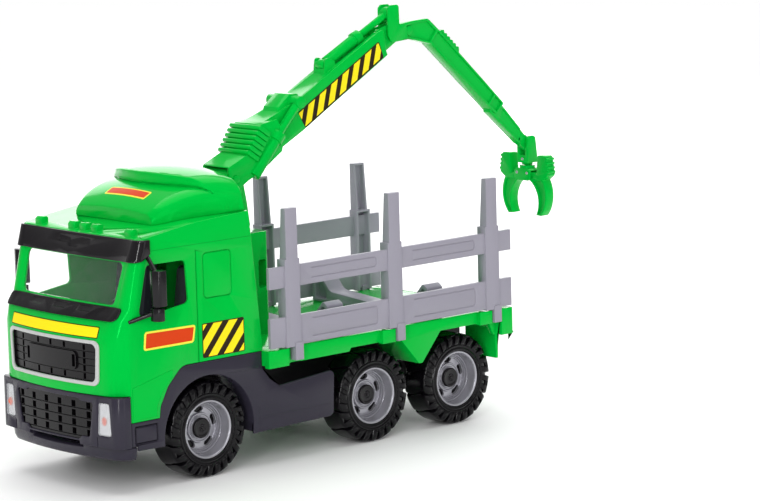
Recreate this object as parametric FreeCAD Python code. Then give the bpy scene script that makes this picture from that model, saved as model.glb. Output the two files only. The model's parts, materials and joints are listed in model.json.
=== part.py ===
import FreeCAD, Part
import math
import os

# A toy logging truck with a loading crane, in millimetres.
# Drawn from the ground below the front axle: +X forward, +Y left, +Z up.
# The last section moves everything so that the origin is the middle of the footprint.

V = FreeCAD.Vector

# ---------------------------------------------------------------- driving sizes
wall = 2.5                  # moulded shells
running_gap = 0.05          # radial, shaft in bore
side_gap = 0.4              # axial, beside a moving piece
skin_gap = 0.3              # between two mouldings that are clipped together

tyre_radius = 40.0
tyre_width = 29.0
tyre_shoulder = 3.2
lug_count = 30
lug_depth = 2.4
seat_flats = 48             # flat faces around the tyre's bore
rim_radius = 24.5
rim_face = 13.1             # rim lip, outboard of the wheel's middle
disc_face = 0.5
hub_face = 2.4
wheel_y = 63.5              # middle of a wheel
axle_radius = 2.5
axle_x = {"front": 0.0, "middle": -182.5, "rear": -281.5}

rail_inner = 22.0            # the two chassis rails, each side of the middle
rail_outer = 27.0
chassis_nose = 72.0

cab_half = 80.0
cab_floor = 97.5
bumper_top = 80.0
bumper_bottom = 27.0
bumper_rear = 81.5
bumper_crease = 38.0
lip_rear = bumper_rear - 6.0   # the bumper's lower lip reaches farther back, under the step
step_top = 58.0              # top of the front step, below the cab's corner
step_rear = 52.5
arch_radius = tyre_radius + 7.0
arch_x = 0.7
arch_z = tyre_radius - 1.3

bed_front = -57.0
bed_rear = -339.0
bed_half = 84.0
bed_under = 85.0
bed_top = 97.5

stake_face = bed_half + 5.2  # outer face of the stake panels
stake_x = [-84.8, -200.2, -315.5]
stake_top = 214.5
panel_front = -60.5
panel_rear = -339.5

hitch_x = bed_rear - 12.0
hitch_z = 58.0
hitch_bore = 3.2

slew_x = -88.0
pedestal_top = 186.0
boom_pivot = (-87.0, 232.0)
jib_pivot = (-281.0, 340.0)
foot_pivot = (-203.0, 318.5)
horn_pivot = (-279.0, 357.5)
hanger_pivot = (-449.0, 225.0)
claw_pivot = (5.0, 197.0)
root_half = 17.4            # half width of the boom's root
beam_half = 12.0
tongue_half = 4.4           # half width of the boom's end, between the jib's cheeks
tongue_radius = 8.9
jib_half = 7.0
collar_radius = 6.4         # widest part of the jib's cylinder
rod_radius = 3.1
eye_half = 5.0              # half width of the cylinder's foot
horn_gap = tongue_half + side_gap  # half the slot in the jib
horn_pin = 1.3
eye_play = 2.5              # slack of the rod's eye on its pin

pieces = {}


# ---------------------------------------------------------------- drawing tools
def outline(points, place):
    """Closed wire through (u, v) or (u, v, corner radius) points, laid in space by place(u, v)."""
    runs = []
    for index, point in enumerate(points):
        here = V(point[0], point[1], 0)
        radius = point[2] if len(point) == 3 else 0
        if radius == 0:
            runs.append([here])
            continue
        before = points[index - 1]
        after = points[(index + 1) % len(points)]
        back = (V(before[0], before[1], 0) - here).normalize()
        on = (V(after[0], after[1], 0) - here).normalize()
        half = back.getAngle(on) / 2
        bisector = (back + on).normalize()
        reach = radius / math.tan(half)
        runs.append([here + back * reach,
                     here + bisector * (radius / math.sin(half) - radius),
                     here + on * reach])
    edges = []
    for index, run in enumerate(runs):
        laid = [place(p.x, p.y) for p in run]
        if len(run) == 3:
            edges.append(Part.Arc(*laid).toShape())
        follower = runs[(index + 1) % len(runs)][0]
        onward = place(follower.x, follower.y)
        if laid[-1].distanceToPoint(onward) > 1e-6:
            edges.append(Part.LineSegment(laid[-1], onward).toShape())
    return Part.Wire(edges)


def along_x(points, x):
    """Prism of a (y, z) outline between two x values."""
    return Part.Face(outline(points, lambda u, v: V(x[0], u, v))).extrude(V(x[1] - x[0], 0, 0))


def along_y(points, y):
    """Prism of an (x, z) outline between two y values."""
    return Part.Face(outline(points, lambda u, v: V(u, y[0], v))).extrude(V(0, y[1] - y[0], 0))


def along_z(points, z):
    """Prism of an (x, y) outline between two z values."""
    return Part.Face(outline(points, lambda u, v: V(u, v, z[0]))).extrude(V(0, 0, z[1] - z[0]))


def box(x, y, z):
    return Part.makeBox(x[1] - x[0], y[1] - y[0], z[1] - z[0], V(x[0], y[0], z[0]))


def rod(start, end, radius):
    axis = V(*end) - V(*start)
    return Part.makeCylinder(radius, axis.Length, V(*start), axis)


def cross_rod(pivot, half, radius):
    """Cylinder along Y through an (x, z) point."""
    return rod((pivot[0], -half, pivot[1]), (pivot[0], half, pivot[1]), radius)


def turned(points):
    """Solid of revolution about the Y axis from (y, radius) points."""
    profile = Part.Face(outline(points, lambda u, v: V(0, u, v)))
    return profile.revolve(V(0, 0, 0), V(0, 1, 0), 360)


def fuse(first, *others):
    return first.multiFuse(list(others)).removeSplitter()


def mirrored(shape):
    return shape.mirror(V(0, 0, 0), V(0, 1, 0))


def moved(shape, x, y, z):
    copy = shape.copy()
    copy.translate(V(x, y, z))
    return copy


def both_sides(name, left):
    pieces[name + "_left"] = left
    pieces[name + "_right"] = mirrored(left)


# ---------------------------------------------------------------- wheels and axles
def lug_ring(y, tip):
    """Star of lugs around the Y axis: two tip corners and one root corner for each."""
    pitch = 2 * math.pi / lug_count
    root = tip * (1 - lug_depth / tyre_radius)
    points = []
    for lug in range(lug_count):
        for turn, radius in ((0.14, tip), (0.70, tip), (0.92, root)):
            angle = (lug + turn) * pitch
            points.append(V(radius * math.cos(angle), y, radius * math.sin(angle)))
    return points


def seat_ring(y):
    """Polygon around the Y axis whose flats touch the rim."""
    corner = rim_radius / math.cos(math.pi / seat_flats)
    angles = [2 * math.pi * flat / seat_flats for flat in range(seat_flats)]
    return [V(corner * math.cos(angle), y, corner * math.sin(angle)) for angle in angles]


def band(ring, follower):
    """Flat faces between two rings with the same number of points."""
    faces = []
    for index in range(len(ring)):
        corners = [ring[index - 1], ring[index], follower[index], follower[index - 1]]
        faces.append(Part.Face(Part.makePolygon(corners + corners[:1])))
    return faces


def make_tyre():
    """Lugs across the tread and down both shoulders, all of flat faces."""
    half = tyre_width / 2
    inner = half - tyre_shoulder
    shoulder = tyre_radius - tyre_shoulder
    rings = [lug_ring(y, tip) for y, tip in ((-half, shoulder), (-inner, tyre_radius),
                                             (inner, tyre_radius), (half, shoulder))]
    faces = band(seat_ring(-half), seat_ring(half))
    for ring, follower in zip(rings, rings[1:]):
        faces += band(ring, follower)
    for ring, y in ((rings[0], -half), (rings[-1], half)):
        seat = seat_ring(y)
        outer = Part.Face(Part.makePolygon(ring + ring[:1]))
        faces.append(outer.cut(Part.Face(Part.makePolygon(seat + seat[:1]))).Faces[0])
    solid = Part.makeSolid(Part.makeShell(faces))
    solid.fix(1e-4, 1e-4, 1e-4)
    return solid


def make_rim():
    back = -rim_face + 0.5
    bore = axle_radius + running_gap
    dish = turned([(back, rim_radius), (rim_face, rim_radius), (rim_face, rim_radius - 2),
                   (rim_face - 3, rim_radius - 4), (4.5, rim_radius - 4.6), (disc_face, rim_radius - 7),
                   (disc_face, 12.8), (hub_face, 11.9), (hub_face, bore), (back, bore), (back, 7), (-2, 7),
                   (-2, rim_radius - 4), (back, rim_radius - 4)])
    slots = []
    for hole in range(5):
        oval = along_y([(13, -3.4, 1.9), (13, 3.4, 1.9), (17.2, 2.8, 1.9), (17.2, -2.8, 1.9)], (-4, 4))
        oval.rotate(V(0, 0, 0), V(0, 1, 0), -33 + 72 * hole)
        slots.append(oval)
    return dish.cut(slots)


def make_axle():
    cap_back = wheel_y + hub_face + side_gap
    cap = turned([(cap_back, 0), (cap_back, 8.6), (cap_back + 1.4, 8.6), (cap_back + 2.4, 7.2),
                  (cap_back + 2.4, 2.4), (cap_back + 3.2, 2.0), (cap_back + 3.2, 0)])
    return fuse(rod((0, -cap_back, 0), (0, cap_back, 0), axle_radius), cap, mirrored(cap))


tyre = make_tyre()
rim = make_rim()
axle = make_axle()
for place, x in axle_x.items():
    pieces["axle_" + place] = moved(axle, x, 0, tyre_radius)
    for side, sign in (("left", 1), ("right", -1)):
        for name, shape in (("tyre", tyre), ("rim", rim)):
            handed = shape if sign == 1 else mirrored(shape)
            pieces[f"{name}_{place}_{side}"] = moved(handed, x, sign * wheel_y, tyre_radius)


# ---------------------------------------------------------------- chassis
def make_chassis():
    rail_top = bed_under
    rail_low = 52.0
    hang = tyre_radius - 9.0
    side = [(bed_rear + 6, rail_top), (bed_rear + 6, rail_low)]
    for x in (axle_x["rear"], axle_x["middle"], axle_x["front"]):
        side += [(x - 17, rail_low), (x - 10, hang, 4), (x + 10, hang, 4), (x + 17, rail_low)]
    side += [(chassis_nose, rail_low), (chassis_nose, 70), (40, rail_top)]
    rail = along_y(side, (rail_inner, rail_outer))
    members = [rail, mirrored(rail)]
    for x in (-325, -232, -132, -60, 30, 66):
        members.append(box((x - 4, x + 4), (-rail_inner, rail_inner), (rail_low + 4, rail_low + 16)))
    reach = wheel_y - rim_face
    for x in axle_x.values():
        members.append(rod((x, -reach, tyre_radius), (x, reach, tyre_radius), 6))
    frame = fuse(*members)
    bores = [rod((x, -cab_half, tyre_radius), (x, cab_half, tyre_radius), axle_radius) for x in axle_x.values()]
    return frame.cut(bores)


pieces["chassis"] = make_chassis()


def make_hitch():
    """Bracket on the chassis rails' ends with a level tongue and an eye for a trailer's peg."""
    tongue = along_z([(bed_rear + 6, -20, 3), (hitch_x - 9, -10, 8), (hitch_x - 9, 10, 8), (bed_rear + 6, 20, 3)],
                     (hitch_z - 4, hitch_z))
    plate = box((bed_rear + 1, bed_rear + 6), (-20, 20), (hitch_z - 4, bed_under))
    rib = along_y([(bed_rear + 2, hitch_z - 1), (hitch_x + 8, hitch_z - 1), (bed_rear + 2, hitch_z + 14)], (-14, -11))
    eye = rod((hitch_x, 0, hitch_z - 6), (hitch_x, 0, hitch_z + 3), hitch_bore + 2.5)
    bore = rod((hitch_x, 0, hitch_z - 7), (hitch_x, 0, hitch_z + 4), hitch_bore)
    return fuse(tongue, plate, rib, mirrored(rib), eye).cut(bore)


pieces["tow_hitch"] = make_hitch()


# ---------------------------------------------------------------- cab
# z, front corner of the side, ends of the front face, half width of the front face, bow of the front
cab_levels = [(50, 81, 95, 61, 6), (128, 81, 95, 61, 6), (141, 79, 90, 63, 4.5), (150, 75.5, 81, 65, 3),
              (187, 66, 71, 68, 2), (206, 60, 65, 70, 2), (222, 58, 62, 70, 2)]
cab_rear = (-58.0, -47.0)
roof_z = (205.0, 216.5)


def rear_at(z):
    return cab_rear[0] + (cab_rear[1] - cab_rear[0]) * (z - cab_floor) / (roof_z[1] - cab_floor)


def cab_body(inset):
    """The cab's outside, pulled in by inset on every upright side."""
    wires = []
    for z, corner, front, width, bow in cab_levels:
        half = cab_half - inset
        nose = front - inset
        edge = width - 0.4 * inset
        side = corner - 0.6 * inset
        rear = rear_at(z) + inset
        bulge = 2.2

        def corner_arc(sign, start, end):
            middle = ((start[0] + end[0]) / 2 + bulge, (start[1] + end[1]) / 2 + sign * bulge)
            return Part.Arc(V(start[0], start[1], z), V(middle[0], middle[1], z), V(end[0], end[1], z)).toShape()

        wires.append(Part.Wire([
            Part.LineSegment(V(rear, half, z), V(rear, -half, z)).toShape(),
            Part.LineSegment(V(rear, -half, z), V(side, -half, z)).toShape(),
            corner_arc(-1, (side, -half), (nose, -edge)),
            Part.Arc(V(nose, -edge, z), V(nose + bow, 0, z), V(nose, edge, z)).toShape(),
            corner_arc(1, (nose, edge), (side, half)),
            Part.LineSegment(V(side, half, z), V(rear, half, z)).toShape()]))
    return Part.makeLoft(wires, True, True)


def roof_line(drop):
    """Outline below the roof's crown, open far out everywhere else."""
    return along_y([(120, 0), (120, roof_z[0] - drop), (66, roof_z[0] - drop, 20),
                    (10, roof_z[0] + 8 - drop, 200), (-80, roof_z[1] + 1.5 - drop), (-80, 0)], (-120, 120))


def fender_top(lift):
    """Outline of the fender's upper edge, seen from the side."""
    return [(160, 20 + lift), (step_rear, 20 + lift), (step_rear, step_top + lift), (51.5, 67 + lift, 16),
            (43, 82.5 + lift, 16), (28, cab_floor + lift, 14), (-160, cab_floor + lift), (-160, 0), (160, 0)]


def make_cab():
    outer = cab_body(0).common(roof_line(0))
    inner = cab_body(wall).common(roof_line(wall))
    shell = outer.cut(inner)
    shell = shell.cut(along_y(fender_top(skin_gap), (-100, 100)))
    shell = shell.cut([box((bumper_rear - 0.2, 120), (-100, 100), (0, bumper_top + skin_gap)),
                       box((step_rear - 4, 120), (-100, 100), (0, step_top + skin_gap))])
    windscreen = along_x([(-61, 152, 5), (61, 152, 5), (64, 186, 5), (-64, 186, 5)], (50, 120))
    side_window = along_y([(61, 184, 4), (21, 183.5, 4), (19, 148.5, 4), (71, 141.5, 5)], (-100, 100))
    grille_hole = along_x([(-55, 91, 5), (55, 91, 5), (57, 122.5, 5), (-57, 122.5, 5)], (50, 120))
    seams = []
    for sign in (1, -1):
        face = sorted((sign * (cab_half - 0.6), sign * (cab_half + 1)))
        seams.append(box((9.6, 10.4), face, (cab_floor + 1, 190)))
        frame = along_y([(3, 187, 4), (-27, 187, 4), (-27, 149, 4), (3, 149, 4)], face)
        seams.append(frame.cut(along_y([(2.2, 186.2, 3.4), (-26.2, 186.2, 3.4), (-26.2, 149.8, 3.4),
                                        (2.2, 149.8, 3.4)], face)))
    shell = shell.cut([windscreen, side_window, grille_hole] + seams)
    lamps = []
    for y in (-60, -15, 0, 15, 60):
        lamps.append(along_y([(56, 202), (63, 202), (63, 209.5, 1), (61, 211.5, 1.5), (56, 211.5, 2)],
                             (y - 4.5, y + 4.5)))
    lamps = [lamp.cut(inner) for lamp in lamps]
    return fuse(shell, *lamps)


pieces["cab"] = make_cab()


def tier_wire(x, foot, half, shoulder, brow, crown):
    """Closed section: upright sides, a round shoulder on each side and a crowned top."""
    shoulder_z = shoulder[1]
    brow_z = brow[1]
    middle = ((shoulder[0] * 0.62 + brow[0] * 0.38), shoulder_z + 0.68 * (brow_z - shoulder_z))

    def at(y, z):
        return V(x, y, z)

    def line(start, end):
        return Part.LineSegment(at(*start), at(*end)).toShape()

    def arc(start, through, end):
        return Part.Arc(at(*start), at(*through), at(*end)).toShape()

    return Part.Wire([
        line((-half, foot), (half, foot)),
        line((half, foot), shoulder),
        arc(shoulder, middle, brow),
        arc(brow, (0, crown), (-brow[0], brow_z)),
        arc((-brow[0], brow_z), (-middle[0], middle[1]), (-shoulder[0], shoulder_z)),
        line((-shoulder[0], shoulder_z), (-half, foot))])


def make_deflector():
    """Broad lower tier with an overhanging brow on it, both crowned."""
    lower = Part.makeLoft([tier_wire(31, 202, 51, (50.5, 212.5), (44, 219), 221),
                           tier_wire(25, 202, 56, (55, 215.5), (46, 224), 226.5),
                           tier_wire(4, 202, 63, (61, 221.5), (50, 233.5), 237),
                           tier_wire(-20, 202, 69.5, (66.5, 226), (54, 237), 241),
                           tier_wire(-48, 202, 75, (71, 227), (57, 237), 241)], True, False)
    brow = Part.makeLoft([tier_wire(6, 215, 53, (51, 235), (42, 243.5), 246),
                          tier_wire(-12, 215, 63, (60, 234), (46, 245.5), 249.5),
                          tier_wire(-30, 215, 69.5, (66, 232), (51, 245.5), 250),
                          tier_wire(-48, 215, 75, (71, 229), (54, 242), 248)], True, False)

    def bowed(back):
        edge = Part.Arc(V(-32 - back, 76, 200), V(2 - back, 0, 200), V(-32 - back, -76, 200)).toShape()
        sides = Part.makePolygon([V(-32 - back, -76, 200), V(-60, -76, 200), V(-60, 76, 200), V(-32 - back, 76, 200)])
        return Part.Face(Part.Wire([edge] + sides.Edges)).extrude(V(0, 0, 60))

    lip = brow.common(bowed(0)).cut(moved(lower, 0, 0, 1.3))
    core = brow.common(bowed(1.8))
    return fuse(lower, core, lip).cut(roof_line(0))


pieces["roof_deflector"] = make_deflector()


def wrap(thickness, region):
    """Strip that lies on the cab's outside within a region."""
    return cab_body(-thickness).common(region).cut(cab_body(0))


def make_visor():
    blade = wrap(2.4, along_y([(58, 193), (66, 188, 3), (71, 187), (120, 187), (120, 204.5), (58, 204.5)],
                              (-100, 100)))
    recess = cab_body(-3.4).cut(cab_body(-1.5))
    panel = along_x([(-21, 196, 1.5), (-8, 196), (-5, 193.2, 1), (5, 193.2, 1), (8, 196), (21, 196, 1.5),
                     (21, 201.5, 1.5), (-21, 201.5, 1.5)], (60, 120))
    return blade.cut(recess.common(panel))


pieces["sun_visor"] = make_visor()


def make_cowl():
    strip = wrap(2.0, along_x([(-73, 141, 4), (73, 141, 4), (73, 151, 3), (-73, 151, 3)], (70, 120)))
    field = cab_body(-3).cut(cab_body(-1.2))
    return strip.cut([field.common(box((60, 120), (y - 8, y + 8), (146, 149.6))) for y in (-32, 0, 32)])


pieces["cowl"] = make_cowl()

grille_ring = [(-58.3, 88, 6), (58.3, 88, 6), (60, 125, 6), (-60, 125, 6)]
grille_field = [(-55, 91, 5), (55, 91, 5), (57, 122.2, 5), (-57, 122.2, 5)]
pieces["grille_frame"] = wrap(1.6, along_x(grille_ring, (60, 120)).cut(along_x(grille_field, (60, 120))))


def make_grille():
    """Recessed plate with rows of short slots above and below a raised blank badge."""
    field = [(-55 + skin_gap, 91 + skin_gap, 5), (55 - skin_gap, 91 + skin_gap, 5),
             (57 - skin_gap, 122.5 - skin_gap, 5), (-57 + skin_gap, 122.5 - skin_gap, 5)]
    plate = cab_body(1.2).common(along_x(field, (60, 120))).cut(cab_body(4.6))
    slots = []
    for y in (-41, -17.5, 0, 17.5, 41):
        for low, high in ((92.2, 97), (116, 120.6)):
            slots.append(box((60, 120), (y - 1.4, y + 1.4), (low, high)))
    for y in (-41, 41):
        for low, high in ((98.6, 103.4), (104.6, 108.8), (110, 114.6)):
            slots.append(box((60, 120), (y - 1.4, y + 1.4), (low, high)))
    grooves = [box((60, 120), (-70, 70), (z - 0.5, z + 0.5)) for z in (97.8, 104, 109.4, 115.3)]
    badge = cab_body(-0.4).cut(cab_body(2)).common(along_x([(-33, 99, 4), (33, 99, 4), (33, 114, 4), (-33, 114, 4)],
                                                           (60, 120)))
    ends = [box((60, 120), sorted((sign * 28.5, sign * 32)), (101.5, 111.5)) for sign in (1, -1)]
    relief = fuse(*grooves).cut(cab_body(2.0))
    sunk = fuse(*ends).cut(cab_body(2.4))
    return fuse(plate.cut([relief] + slots), badge).cut(sunk)


pieces["upper_grille"] = make_grille()


# ---------------------------------------------------------------- bumper, lamps, fenders
def bumper_body(inset, low, high):
    wires = []
    for z in (low, high):
        half = cab_half - inset
        nose = 95 - inset
        edge = cab_half - 8 - 0.4 * inset
        side = 87 - 0.6 * inset
        rear = bumper_rear
        wires.append(Part.Wire([
            Part.LineSegment(V(rear, half, z), V(rear, -half, z)).toShape(),
            Part.LineSegment(V(rear, -half, z), V(side, -half, z)).toShape(),
            Part.Arc(V(side, -half, z), V((side + nose) / 2 + 1.4, -(half + edge) / 2 - 1.4, z),
                     V(nose, -edge, z)).toShape(),
            Part.Arc(V(nose, -edge, z), V(nose + 6, 0, z), V(nose, edge, z)).toShape(),
            Part.Arc(V(nose, edge, z), V((side + nose) / 2 + 1.4, (half + edge) / 2 + 1.4, z),
                     V(side, half, z)).toShape(),
            Part.LineSegment(V(side, half, z), V(rear, half, z)).toShape()]))
    return Part.makeLoft(wires, True, True)


lower_field = [(-46, 45.5, 2), (-37, 45.5, 1), (-33.5, 42.6, 1), (33.5, 42.6, 1), (37, 45.5, 1), (46, 45.5, 2),
               (51, 74, 2), (37, 74, 1), (34, 76, 1), (-34, 76, 1), (-37, 74, 1), (-51, 74, 2)]
lamp_field = [(cab_half - 23.5, 48, 2), (cab_half - 9.5, 48, 2), (cab_half - 11, 75, 2), (cab_half - 21.5, 75, 2)]


def bumper_lip(inset):
    """Rounded lower edge, set back from the face above it."""
    wires = []
    for z, drop in ((bumper_bottom, 3.0), (bumper_bottom + 4, 1.0), (bumper_crease - 1, 0.5), (bumper_crease, 1.5)):
        half = cab_half - 1 - inset - drop
        side = 81 - 0.6 * inset - 0.6 * drop
        nose = 92.5 - inset - drop
        edge = cab_half - 17 - 0.4 * inset
        rear = lip_rear
        wires.append(Part.Wire([
            Part.LineSegment(V(rear, half, z), V(rear, -half, z)).toShape(),
            Part.LineSegment(V(rear, -half, z), V(side, -half, z)).toShape(),
            Part.Arc(V(side, -half, z), V((side + nose) / 2 + 1.6, -(half + edge) / 2 - 1.6, z),
                     V(nose, -edge, z)).toShape(),
            Part.Arc(V(nose, -edge, z), V(nose + 6, 0, z), V(nose, edge, z)).toShape(),
            Part.Arc(V(nose, edge, z), V((side + nose) / 2 + 1.6, (half + edge) / 2 + 1.6, z),
                     V(side, half, z)).toShape(),
            Part.LineSegment(V(side, half, z), V(rear, half, z)).toShape()]))
    return Part.makeLoft(wires, True, True)


def make_bumper():
    upper = bumper_body(0, bumper_crease, bumper_top)
    hollow = bumper_body(wall, bumper_crease + wall, bumper_top - wall)
    lip = bumper_lip(0).cut(bumper_lip(wall).common(box((70, 120), (-100, 100), (0, bumper_crease - wall))))
    sill = bumper_lip(1).common(box((84, 120), (-38, 38), (bumper_bottom + 2, bumper_crease)))
    shell = fuse(upper.cut(hollow), lip, sill)
    intake = along_y([(110, 30.5), (110, 41), (86, 41), (86, 37), (91, 37)], (-34, 34))
    lamp_hole = along_x(lamp_field, (70, 120))
    seams = [box((87, 120), (y - 0.4, y + 0.4), (bumper_crease, 46)) for y in (-55, 55)]
    seams = fuse(*seams).cut(bumper_body(0.8, bumper_crease - 1, bumper_top))
    shell = shell.cut([along_x(lower_field, (70, 120)), lamp_hole, mirrored(lamp_hole), intake, seams])
    bracket = box((chassis_nose, 90), (rail_inner, rail_outer), (60, bumper_top - 1))
    return fuse(shell, bracket, mirrored(bracket))


pieces["front_bumper"] = make_bumper()


def in_field(field, gap, proud, depth):
    """Plate that fills a hole in the bumper, its face following the bumper's bow."""
    middle_y = sum(p[0] for p in field) / len(field)
    middle_z = sum(p[1] for p in field) / len(field)
    shrunk = []
    for y, z, radius in field:
        shrunk.append((y - math.copysign(gap, y - middle_y), z - math.copysign(gap, z - middle_z), radius))
    low, high = 40, 79
    return bumper_body(-proud, low, high).common(along_x(shrunk, (70, 120))).cut(bumper_body(depth, low, high))


def make_lower_grille():
    plate = in_field(lower_field, 0.0, -1.2, 4.4)
    slots = []
    grooves = []
    for z in (48.2, 55.7, 63.2, 70.7):
        grooves.append(box((70, 120), (-60, 60), (z - 3.6, z - 2.8)))
        for y in (-44.5, -26.7, -8.9, 8.9, 26.7, 44.5):
            slots.append(box((70, 120), (y - 2.4, y + 2.4), (z - 2.6, z + 2.6)))
    relief = fuse(*grooves).cut(bumper_body(2.4, 40, 79))
    return plate.cut([relief] + slots)


pieces["lower_grille"] = make_lower_grille()
both_sides("headlight", in_field(lamp_field, 0.0, 0.6, 3.0))


def make_fender():
    """Front step, wheel arch and side skirt in one moulding."""
    side = [(lip_rear - skin_gap, 34.5), (lip_rear - skin_gap, bumper_crease + skin_gap),
            (bumper_rear - skin_gap, bumper_crease + skin_gap), (bumper_rear - skin_gap, step_top),
            (step_rear, step_top), (51.5, 67, 16), (43, 82.5, 16),
            (28, cab_floor, 14), (bed_front + skin_gap, cab_floor), (bed_front + skin_gap, 83.6), (-64, 74, 4),
            (-75, 66, 4), (-136, 70.5, 5), (-134, 31, 5), (-30, 29), (10, 33)]
    arch = Part.makeCylinder(arch_radius, 60, V(arch_x, 40, arch_z), V(0, 1, 0))
    under = box((-37, arch_x + arch_radius), (40, 100), (0, arch_z))
    outer = along_y(side, (cab_half - wall, cab_half)).cut([arch, under])
    lip_band = Part.makeCylinder(arch_radius + wall, cab_half - 46, V(arch_x, 46, arch_z), V(0, 1, 0)).cut(arch)
    lip = lip_band.common(box((-60, 60), (40, cab_half), (arch_z, 100)))
    ledge = along_y([(-64, 74, 4), (-75, 66, 4), (-136, 70.5, 5), (-134, 31, 5), (-131.5, 31, 3),
                     (-133.5, 68, 4), (-75, 63.5, 4), (-61.5, 72, 4)], (58, cab_half))
    front_x = arch_x + arch_radius
    rear_x = arch_x - arch_radius
    front_leg = box((front_x, front_x + wall), (46, cab_half), (arch_z, arch_z + 4)).cut(arch)
    rear_leg = box((rear_x - wall, rear_x), (46, cab_half), (arch_z - 8, arch_z + 4)).cut(arch)
    deck = box((bed_front + skin_gap, 20), (rail_outer, cab_half), (cab_floor - wall, cab_floor)).cut(arch)
    panel = (step_rear + 2.5, bumper_rear - 3.5, 40, step_top - 3.5)
    groove = box((panel[0], panel[1]), (cab_half - 0.8, cab_half + 1), (panel[2], panel[3]))
    groove = groove.cut(box((panel[0] + 0.9, panel[1] - 0.9), (0, 100), (panel[2] + 0.9, panel[3] - 0.9)))
    return fuse(outer, lip, ledge, front_leg, rear_leg, deck).cut(groove)


both_sides("fender", make_fender())


# ---------------------------------------------------------------- cab interior, glazing, mirrors
def make_interior():
    tray = box((-53, 76), (-74, 74), (cab_floor + 0.5, cab_floor + 3))
    dash = along_y([(60, 100), (76, 100), (79, 138), (74, 147, 4), (62, 145, 6), (58, 128, 4)], (-70, 70))
    seats = []
    for y in (-40, 40):
        cushion = along_y([(-22, 100), (22, 100), (24, 122, 6), (-20, 118, 4)], (y - 21, y + 21))
        back = along_y([(-22, 112), (-10, 112), (-18, 168, 5), (-30, 168, 5)], (y - 20, y + 20))
        rest = along_y([(-28, 166), (-20, 166), (-22, 186, 3), (-30, 186, 3)], (y - 11, y + 11))
        seats += [cushion, back, rest]
    return fuse(tray, dash, *seats)


pieces["cab_interior"] = make_interior()


def make_steering_wheel():
    centre = V(50, 40, 141)
    axis = V(0.75, 0, -0.66)
    bead = [V(14 + 1.6 * math.cos(turn), 0, 1.6 * math.sin(turn))
            for turn in (math.pi / 3 * step for step in range(6))]
    ring = Part.Face(Part.makePolygon(bead + bead[:1])).revolve(V(0, 0, 0), V(0, 0, 1), 360)
    ring.Placement = FreeCAD.Placement(centre, FreeCAD.Rotation(V(0, 0, 1), axis))
    hub = Part.makeCylinder(4, 3, centre - axis * 1.5, axis)
    column = Part.makeCylinder(2, 18, centre, axis)
    spokes = [rod(tuple(centre), tuple(centre + V(0, 13.6 * sign, 0)), 1.2) for sign in (1, -1)]
    lower = rod(tuple(centre), tuple(centre + V(-0.66, 0, -0.75) * 13.6), 1.2)
    wheel = fuse(ring, hub, column, lower, *spokes)
    return wheel.cut(pieces["cab_interior"])


pieces["steering_wheel"] = make_steering_wheel()

pane = cab_body(0.5).cut(cab_body(1.7))
opening = along_x([(-61, 152, 5), (61, 152, 5), (64, 186, 5), (-64, 186, 5)], (50, 120))
pieces["windscreen"] = pane.common(opening)


def make_mirror():
    near = cab_half + 6
    far = cab_half + 18
    stem = cab_half + 11
    main = along_z([(54, near, 2), (63, near, 3), (65, near + 6, 3), (62, far, 3), (54, far, 2)], (152, 181))
    small = along_z([(56, near, 2), (64, near, 3), (65, near + 6, 3), (62, far - 1, 3), (56, far - 1, 2)],
                    (140, 150.5))
    upper_arm = rod((60, cab_half - 0.5, 192), (60, stem, 179), 1.8)
    link = rod((60, stem, 145), (60, stem, 160), 2.0)
    lower_arm = rod((80, cab_half - 1.5, 140), (61, stem - 1, 147), 1.8)
    arms = fuse(upper_arm, lower_arm).cut(pieces["cab"]).cut(cab_body(0))
    arms = arms.cut(pieces["sun_visor"])
    return fuse(main, small, link, arms)


both_sides("mirror", make_mirror())


# ---------------------------------------------------------------- bed, cradles, stake panels
def make_bed():
    floor = box((bed_rear, bed_front), (-bed_half + 6, bed_half - 6), (bed_top - 5, bed_top))
    parts = [floor]
    for y in (-54, -18, 18, 54):
        parts.append(box((bed_rear, bed_front), (y - 2, y + 2), (bed_under, bed_top)))
    side = along_y([(bed_front, bed_under), (bed_front, bed_top), (bed_rear, bed_top), (bed_rear, 74, 3),
                    (bed_rear + 18, 74, 3), (bed_rear + 24, 87), (-152, 87), (-150, 84), (-66, 84)],
                   (bed_half - 6, bed_half))
    blocks = [box((bed_front - 22, bed_front), (bed_half - 1, stake_face - 0.5), (83, bed_top)),
              box((bed_rear, bed_rear + 18), (bed_half - 1, stake_face - 0.5), (74, bed_top))]
    for x in stake_x[1:]:
        blocks.append(box((x + 1, x + 16), (bed_half - 1, stake_face - 0.5), (86, bed_top)))
    between = (axle_x["middle"] + axle_x["rear"]) / 2
    guard = axle_x["rear"] - tyre_radius - 2
    web = along_y([(between - 24, 87), (between - 2, 62, 2), (between + 2, 62, 2), (between + 24, 87)],
                  (44, bed_half))
    mud = along_y([(guard - wall, 87), (guard - wall, 53), (guard, 53), (guard, 80), (guard + 11, 87)],
                  (44, bed_half - 1))
    left = fuse(side, web, mud, *blocks)
    notches = [box((x - 10, x + 0.6), (bed_half - 1.5, 100), (60, 120)) for x in stake_x]
    left = left.cut(notches)
    ends = [box((bed_front - 5, bed_front), (-bed_half + 6, bed_half - 6), (bed_under, bed_top)),
            box((bed_rear, bed_rear + 5), (-bed_half + 6, bed_half - 6), (bed_under, bed_top))]
    tower = along_z([(-116, -23, 5), (-60, -23, 5), (-60, 23, 5), (-116, 23, 5)], (bed_top - 1, pedestal_top))
    window = along_y([(-112, 138, 2), (-104, 138, 2), (-104, 162, 2), (-112, 162, 2)], (-40, 40))
    return fuse(*parts, left, mirrored(left), *ends, tower.cut(window))


pieces["bed"] = make_bed()


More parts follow.
